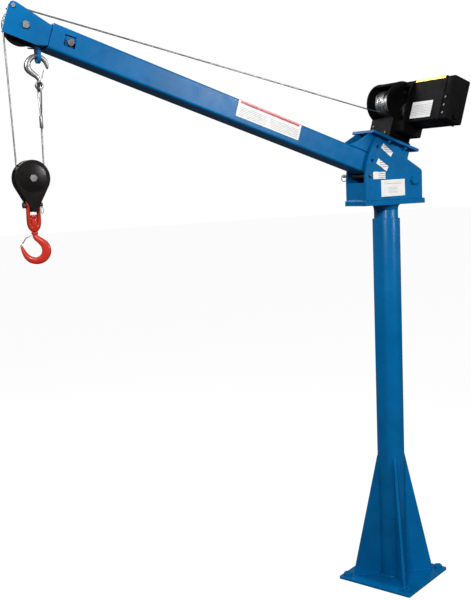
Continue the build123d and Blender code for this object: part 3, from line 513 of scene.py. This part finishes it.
def sticker(name, origin, right, up, width, height, bars, blocks):
    """White vinyl with grey filler bars instead of lettering. bars: (x0, x1, y0, y1, rows, grey)."""
    material, tree, shader = new_material(name)
    x, y = plane_coords(tree, origin, right, up, width, height)
    plain = object_coords(tree)
    base = ramp(tree, noise(tree, plain, 60.0, 3.0), [(0.3, (0.80, 0.80, 0.79)), (0.7, (0.88, 0.88, 0.87))])
    for x0, x1, y0, y1, colour in blocks:
        base = over(tree, base, colour, times(tree, band(tree, x, x0, x1), band(tree, y, y0, y1)))
    for x0, x1, y0, y1, rows, grey in bars:
        wave = node(tree, "ShaderNodeMath", operation="SINE")
        scaled = node(tree, "ShaderNodeMath", operation="MULTIPLY")
        scaled.inputs[1].default_value = 2 * math.pi * rows / (y1 - y0)
        tree.links.new(y, scaled.inputs[0])
        tree.links.new(scaled.outputs[0], wave.inputs[0])
        rows_mask = spread(tree, wave.outputs[0], 0.0, 1.0, 0.1, 0.3)
        ragged = node(tree, "ShaderNodeTexNoise")
        ragged.inputs["Scale"].default_value = 420.0
        tree.links.new(plain, ragged.inputs["Vector"])
        words = spread(tree, ragged.outputs["Fac"], 0.0, 1.0, 0.38, 0.44)
        area = times(tree, band(tree, x, x0, x1), band(tree, y, y0, y1), rows_mask, words)
        base = over(tree, base, (grey, grey, grey), area)
    tree.links.new(base, shader.inputs["Base Color"])
    scuff = noise(tree, plain, 90.0, 3.0)
    tree.links.new(spread(tree, scuff, 0.32, 0.55), shader.inputs["Roughness"])
    add_bump(tree, shader, scuff, 0.05, 0.0003)
    return material


def boom_sticker():
    """Also covers the winch label, which is the same node and lies past the end of the boom label."""
    origin = at(0.701, -0.018, -0.038)
    return sticker(
        "boom_warning_sticker", origin, -TOE, RISE, 0.262, 0.056,
        bars=[(0.03, 0.46, 0.05, 0.62, 6, 0.45), (0.52, 0.97, 0.05, 0.62, 6, 0.45),
              (2.3, 2.7, 3.75, 4.50, 7, 0.50)],
        blocks=[(0.03, 0.97, 0.80, 0.93, (0.50, 0.05, 0.06)), (0.0, 1.0, 0.94, 1.2, (0.70, 0.42, 0.42))],
    )


def yoke_sticker():
    origin = Vector((-0.069, -0.055, 1.468))
    return sticker(
        "yoke_sticker", origin, Vector((1, 0, 0)), Vector((0, 0, 1)), 0.114, 0.060,
        bars=[(0.12, 0.88, 0.74, 0.86, 1, 0.45), (0.30, 0.70, 0.18, 0.60, 5, 0.50), (-0.1, 0.42, 1.1, 1.55, 4, 0.25),
              (-0.05, 0.45, 1.75, 2.25, 4, 0.30), (0.15, 0.80, 2.6, 3.1, 4, 0.30)],
        blocks=[],
    )


# ------------------------------------------------------------------ the CAD nodes' finish

SLOT_OF = {entry["node"]: entry["material_slot"] for entry in frame["record"]["subparts"]}
ROUND_EDGE = {
    "boom_outer_tube": 0.0006, "base_plate": 0.0012, "yoke_floor": 0.0015, "yoke_plates": 0.0012,
    "base_gussets": 0.0012, "winch_plate": 0.0012, "tip_plates": 0.0012, "winch_sides": 0.0010,
    "gear_housing": 0.0012, "motor_cover": 0.0010, "motor_end_cap": 0.0010,
}


def finish_cad_nodes():
    """Every CAD node's material, and a small round on its edges. Stickers and tip plates stay sharp."""
    stickers = {"boom_labels": boom_sticker(), "yoke_labels": yoke_sticker()}
    for name, obj in frame["nodes"].items():
        if name in stickers:
            paint(obj, stickers[name])
            continue
        paint(obj, NODE_MATERIAL.get(name) or SLOT_MATERIAL.get(SLOT_OF[name], ZINC))
        if name == "tip_plates":
            continue
        weld = obj.modifiers.new("weld", "WELD")
        weld.merge_threshold = 0.00002
        bevel = obj.modifiers.new("soft_edges", "BEVEL")
        bevel.width = ROUND_EDGE.get(name, 0.0004)
        bevel.segments = 2
        bevel.limit_method = "ANGLE"
        bevel.angle_limit = math.radians(35)
        bevel.harden_normals = True


finish_cad_nodes()

# ------------------------------------------------------------------ modelled pieces


def place(material, obj, body, *replaced):
    paint(obj, material)
    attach(obj, body)
    if replaced:
        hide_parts(*replaced)
    return obj


def rounded_run(rows, per_span=10):
    """Catmull-Rom rows of numbers: a smooth path and its widths together."""
    result = []
    for i in range(len(rows) - 1):
        r0, r1, r2 = rows[max(i - 1, 0)], rows[i], rows[i + 1]
        r3 = rows[min(i + 2, len(rows) - 1)]
        for k in range(per_span):
            t = k / per_span
            result.append([
                0.5 * (2 * b + (c - a) * t + (2 * a - 5 * b + 4 * c - d) * t * t + (3 * b - a - 3 * c + d) * t ** 3)
                for a, b, c, d in zip(r0, r1, r2, r3)
            ])
    result.append(list(rows[-1]))
    return result


def forging(verts, faces, rows, centre, right, across, around=20, squareness=0.8):
    """A forged bar: rows of (sideways, height, half width, half depth) in millimetres, in one plane."""
    rows = rounded_run(rows)
    up = Vector((0, 0, 1))
    spine = [centre + right * (r[0] / 1000) + up * (r[1] / 1000) for r in rows]
    base = len(verts)
    for i, middle in enumerate(spine):
        ahead = (spine[min(i + 1, len(spine) - 1)] - spine[max(i - 1, 0)]).normalized()
        inplane = across.cross(ahead).normalized()
        for k in range(around):
            turn = 2 * math.pi * k / around
            c, d = math.cos(turn), math.sin(turn)
            c = math.copysign(abs(c) ** squareness, c)
            d = math.copysign(abs(d) ** squareness, d)
            verts.append(middle + inplane * (c * rows[i][2] / 1000) + across * (d * rows[i][3] / 1000))
    add_rings(faces, base, len(spine), around)
    add_caps(faces, base, len(spine), around)


def lathed(verts, faces, profile, centre, axis, around=40):
    """Turns (radius, height) pairs in millimetres about an axis through centre."""
    axis = axis.normalized()
    start = Vector((1, 0, 0)) if abs(axis.x) < 0.9 else Vector((0, 1, 0))
    u = (start - axis * start.dot(axis)).normalized()
    v = axis.cross(u)
    base = len(verts)
    for radius, height in profile:
        for k in range(around):
            turn = 2 * math.pi * k / around
            verts.append(centre + axis * (height / 1000)
                         + (u * math.cos(turn) + v * math.sin(turn)) * (max(radius, 0.01) / 1000))
    add_rings(faces, base, len(profile), around)
    add_caps(faces, base, len(profile), around)


def block(verts, faces, corner, edges):
    """A slab from a corner and three edge vectors."""
    base = len(verts)
    a, b, c = edges
    for k in range(8):
        verts.append(corner + a * (k & 1) + b * ((k >> 1) & 1) + c * ((k >> 2) & 1))
    for quad in ((0, 2, 3, 1), (4, 5, 7, 6), (0, 1, 5, 4), (2, 6, 7, 3), (0, 4, 6, 2), (1, 3, 7, 5)):
        faces.append(tuple(base + q for q in quad))


def make_load_hook():
    centre = Vector((BLOCK_X, 0, 0))
    right = Vector((math.cos(math.radians(-32)), math.sin(math.radians(-32)), 0))
    across = Vector((0, 0, 1)).cross(right)
    verts, faces = [], []
    forging(verts, faces, [
        (0, 1423, 7, 7), (0.3, 1413, 7.2, 7.2), (3.5, 1404, 8.4, 8.2), (14, 1395, 9.6, 8.8), (27, 1382, 12.2, 9.4),
        (31.5, 1367, 13.4, 9.8), (28.5, 1353, 13.0, 9.6), (18, 1341.5, 12.0, 9.2), (1, 1336.4, 10.8, 8.8),
        (-16, 1340, 9.6, 8.2), (-28.5, 1351, 8.0, 7.2), (-36.5, 1366, 5.6, 5.8), (-41.3, 1379, 3.4, 4.0),
        (-42.6, 1384, 1.5, 1.8),
    ], centre, right, across)
    lathed(verts, faces, [(6.9, 1419), (6.9, 1461), (9.2, 1461), (9.6, 1462.5), (9.6, 1469), (8.6, 1470.4)],
           centre, Vector((0, 0, 1)), around=28)
    lathed(verts, faces, [(7, 1412), (9.4, 1414), (9.8, 1416.5), (9.4, 1419.5), (7, 1420.6)], centre,
           Vector((0, 0, 1)), around=28)
    hook = place(RED, mesh_object("forged_load_hook", verts, faces), "load_hook", "load_hook")


def make_clevis():
    centre = Vector((BLOCK_X, 0, 0))
    right, across = Vector((1, 0, 0)), Vector((0, 1, 0))
    verts, faces = [], []
    forging(verts, faces, [
        (-15.6, 1507, 4.6, 8.4), (-15.7, 1480, 4.8, 8.8), (-15.8, 1458, 5.0, 8.8), (-14.2, 1442, 5.6, 8.6),
        (-8.5, 1431, 6.6, 8.6), (0, 1428.6, 7.2, 8.8), (8.5, 1431, 6.6, 8.6), (14.2, 1442, 5.6, 8.6),
        (15.8, 1458, 5.0, 8.8), (15.7, 1480, 4.8, 8.8), (15.6, 1507, 4.6, 8.4),
    ], centre, right, across, squareness=0.7)
    lathed(verts, faces, [(7.1, 1421.2), (10.2, 1421.6), (11.2, 1424), (11.2, 1446), (10.4, 1457), (9.8, 1459.6),
                          (7.1, 1460)], centre, Vector((0, 0, 1)), around=32)
    pin = Vector((BLOCK_X, 0, 1.499))
    for side in (-1, 1):
        lathed(verts, faces, [(6.1, 10.9 * side), (10.2, 10.9 * side), (11, 11.8 * side), (11, 19.6 * side),
                              (10.2, 20.5 * side), (6.1, 20.5 * side)], pin, right, around=32)
    clevis = place(RED, mesh_object("forged_clevis", verts, faces), "clevis", "hook_clevis")


def make_line_hook():
    centre = Vector((-1.320, 0, 0))
    right, across = Vector((1, 0, 0)), Vector((0, 1, 0))
    verts, faces = [], []
    top = 1893.4
    rows = [(2.5, 1850.5, 4.6, 4.6), (2.3, 1857, 5.0, 5.0), (-4, 1866, 6.6, 5.8), (-18, 1876.5, 8.2, 6.4),
            (-27.5, 1885, 9.0, 6.8)]
    for degrees, wide, deep in ((180, 9.4, 7.0), (158, 9.0, 7.0), (135, 8.2, 6.8), (112, 7.2, 6.6), (90, 6.8, 6.4),
                                (68, 6.8, 6.3), (45, 6.9, 6.1), (22, 6.2, 5.6), (0, 4.2, 4.4)):
        turn = math.radians(degrees)
        rows.append((30 * math.cos(turn), top + 30 * math.sin(turn), wide, deep))
    rows.append((31.5, top - 5, 1.4, 1.8))
    forging(verts, faces, rows, centre, right, across)
    eye = Vector((EYE_X, 0, EYE_Z))
    ring = []
    for k in range(17):
        turn = 2 * math.pi * k / 16
        ring.append((10 - 3 * math.cos(turn), 4.4 * math.sin(turn)))
    lathed(verts, faces, ring, eye, across, around=40)
    hook = place(ZINC, mesh_object("forged_line_hook", verts, faces), "line_hook", "line_hook")


def beads(name, lines, radius, material, body):
    """Weld beads: short overlapping ripples along each line."""
    verts, faces = [], []
    around = 8
    for line in lines:
        points = even(line, 0.0035)
        sides = frames_along(points)
        base = len(verts)
        for i, middle in enumerate(points):
            u, v = sides[i]
            size = radius * (0.86 + 0.14 * (i % 2)) * (0.35 if i in (0, len(points) - 1) else 1)
            for k in range(around):
                turn = 2 * math.pi * k / around
                verts.append(middle + (u * math.cos(turn) + v * math.sin(turn)) * size)
        add_rings(faces, base, len(points), around)
    made = place(material, mesh_object(name, verts, faces), body)


def make_welds():
    turn0 = math.radians(18.5 + 45)
    lines = []
    for quarter in range(4):
        turn = turn0 + quarter * math.pi / 2
        out = Vector((math.cos(turn), math.sin(turn), 0))
        aside = Vector((-out.y, out.x, 0))
        for hand in (-1, 1):
            off = aside * hand * 0.0058
            lines.append([out * 0.054 + off + Vector((0, 0, 0.0108)), out * 0.150 + off + Vector((0, 0, 0.0108))])
            lines.append([out * 0.0512 + off + Vector((0, 0, 0.014)), out * 0.0512 + off + Vector((0, 0, 0.474))])
        arc = []
        for k in range(13):
            a = turn + math.radians(7) + (math.pi / 2 - math.radians(14)) * k / 12
            arc.append(Vector((math.cos(a) * 0.0520, math.sin(a) * 0.0520, 0.0108)))
        lines.append(arc)
    beads("base_welds", lines, 0.0026, BLUE, "base")

    floor_top = 1.437 + 0.01905
    yoke = []
    for hand in (-1, 1):
        y = hand * 0.0562
        yoke.append([Vector((-0.138, y, floor_top + 0.001)), Vector((0.128, y, floor_top + 0.001))])
    yoke.append([Vector((-0.1435, -0.044, floor_top + 0.001)), Vector((-0.1435, 0.044, floor_top + 0.001))])
    beads("yoke_welds", yoke, 0.0024, BLUE, "yoke")

    boom = []
    for hand in (-1, 1):
        y = hand * 0.0392
        boom.append([at(s, 0.1045, y) for s in (-0.080, 0.140)])
        boom.append([at(s, 0.0385, y) for s in (-0.070, 0.150)])
    beads("boom_welds", boom, 0.0022, BLUE, "boom")

    tip = []
    for hand in (-1, 1):
        tip.append([at(1.3575, -0.030, hand * 0.0335), at(1.3575, 0.026, hand * 0.0335)])
        tip.append([at(1.362, -0.0325, hand * 0.036), at(1.390, -0.0412, hand * 0.036)])
    beads("tip_welds", tip, 0.0022, BLUE, "tip")


def make_spigot_flare():
    verts, faces = [], []
    lathed(verts, faces, [(44.5, 1418), (45.0, 1424), (46.2, 1429), (48.6, 1433), (51.6, 1435.4), (54.5, 1436.6),
                          (54.5, 1437.2), (44.5, 1437.2)], Vector((0, 0, 0)), Vector((0, 0, 1)), around=64)
    flare = place(BLUE, mesh_object("spigot_flare", verts, faces), "yoke")


def make_block_bosses():
    verts, faces = [], []
    middle = Vector((BLOCK_X, 0, BLOCK_Z))
    for side in (-1, 1):
        lathed(verts, faces, [(46, 16.3 * side), (41, 17.1 * side), (33, 18.3 * side), (23, 19.5 * side),
                              (13, 20.2 * side)], middle, Vector((0, 1, 0)), around=56)
    bosses = place(BLOCK_BLACK, mesh_object("block_pressed_domes", verts, faces), "block")


def make_painted_highlight_strip():
    # Painted highlight: two thin brass-coloured slabs along the top and front edges of the motor cover.
    verts, faces = [], []
    block(verts, faces, at(0.012, 0.3251, -0.258), (TOE * 0.0355, RISE * 0.0014, ACROSS * 0.146))
    block(verts, faces, at(0.0461, 0.3175, -0.258), (TOE * 0.0014, RISE * 0.0090, ACROSS * 0.146))
    strip = place(PAINTED_HIGHLIGHT_BRASS, mesh_object("painted_highlight_strip", verts, faces, smooth=False), "boom")


def make_motor_cover_ribs():
    """Seams round both ends of the motor cover, and vent slats on its back."""
    verts, faces = [], []
    for y in (-0.1105, -0.2645):
        for n in (0.1675, 0.325):
            block(verts, faces, at(-0.0325, n, y), (TOE * 0.080, RISE * 0.0018, ACROSS * 0.004))
        for s in (-0.0328, 0.0458):
            block(verts, faces, at(s, 0.1675, y), (TOE * 0.0018, RISE * 0.1593, ACROSS * 0.004))
    for k in range(7):
        block(verts, faces, at(-0.0322, 0.190 + 0.016 * k, -0.232), (TOE * 0.0018, RISE * 0.005, ACROSS * 0.070))
    ribs = place(BLACK, mesh_object("motor_cover_ribs", verts, faces, smooth=False), "boom")
    bevel = ribs.modifiers.new("soft_edges", "BEVEL")
    bevel.width = 0.0005
    bevel.segments = 2


def make_drum_end_cover():
    """A flat cover with a stepped hub and six screws, on the winch's far side."""
    verts, faces = [], []
    lathed(verts, faces, [(40, 61.0), (40, 63.4), (37, 65.0), (14, 65.4), (13, 68.0), (10, 69.0), (0.1, 69.2)], DRUM,
           ACROSS, around=56)
    for k in range(6):
        a = math.radians(60 * k + 30)
        spot = DRUM + (TOE * math.cos(a) + RISE * math.sin(a)) * 0.062
        lathed(verts, faces, [(4.6, 60.8), (4.6, 63.2), (3.6, 64.4), (0.1, 64.6)], spot, ACROSS, around=16)
    cover = place(BLACK, mesh_object("drum_end_cover", verts, faces), "boom")


make_load_hook()
make_clevis()
make_line_hook()
make_welds()
make_spigot_flare()
make_block_bosses()
make_painted_highlight_strip()
make_motor_cover_ribs()
make_drum_end_cover()

# ------------------------------------------------------------------ stage

# place, size in metres, power in watts
STUDIO_LIGHTS = (((-3.2, -2.6, 3.4), 1.0, 150), ((1.6, -3.4, 2.6), 0.6, 80), ((-1.0, 2.8, 3.4), 1.6, 60))


LIGHTS_AIM = Vector((-0.4, 0, 1.2))
FLOOR_HALF = 30


def add_stage():
    """A pale floor and backdrop that only the camera sees bright, and three softboxes."""
    mesh = bpy.data.meshes.new("floor")
    corners = [(x * FLOOR_HALF, y * FLOOR_HALF, 0) for x, y in ((-1, -1), (1, -1), (1, 1), (-1, 1))]
    mesh.from_pydata(corners, [], [(0, 1, 2, 3)])
    floor = link(bpy.data.objects.new("floor", mesh))
    material, tree, shader = new_material("pale_floor")
    shader.inputs["Base Color"].default_value = (0.10, 0.10, 0.10, 1)
    shader.inputs["Roughness"].default_value = 0.9
    shader.inputs["Emission Color"].default_value = (1, 1, 1, 1)
    seen = tree.nodes.new("ShaderNodeLightPath")
    glow = tree.nodes.new("ShaderNodeMapRange")
    glow.inputs["To Min"].default_value = 0.0
    glow.inputs["To Max"].default_value = 0.93
    tree.links.new(seen.outputs["Is Camera Ray"], glow.inputs["Value"])
    tree.links.new(glow.outputs["Result"], shader.inputs["Emission Strength"])
    floor.data.materials.append(material)
    world = bpy.data.worlds.new("studio")
    world.use_nodes = True
    tree = world.node_tree
    backdrop = tree.nodes["Background"]
    backdrop.inputs["Color"].default_value = (1, 1, 1, 1)
    seen = tree.nodes.new("ShaderNodeLightPath")
    level = tree.nodes.new("ShaderNodeMapRange")
    level.inputs["To Min"].default_value = 0.20
    level.inputs["To Max"].default_value = 1.0
    tree.links.new(seen.outputs["Is Camera Ray"], level.inputs["Value"])
    tree.links.new(level.outputs["Result"], backdrop.inputs["Strength"])
    bpy.context.scene.world = world
    for place, size, power in STUDIO_LIGHTS:
        data = bpy.data.lights.new("softbox", "AREA")
        data.size = size
        data.energy = power
        lamp = link(bpy.data.objects.new("softbox", data))
        lamp.location = place
        aim = LIGHTS_AIM - Vector(place)
        lamp.rotation_euler = aim.to_track_quat("-Z", "Y").to_euler()
    bpy.context.scene.view_settings.view_transform = "Standard"


add_stage()
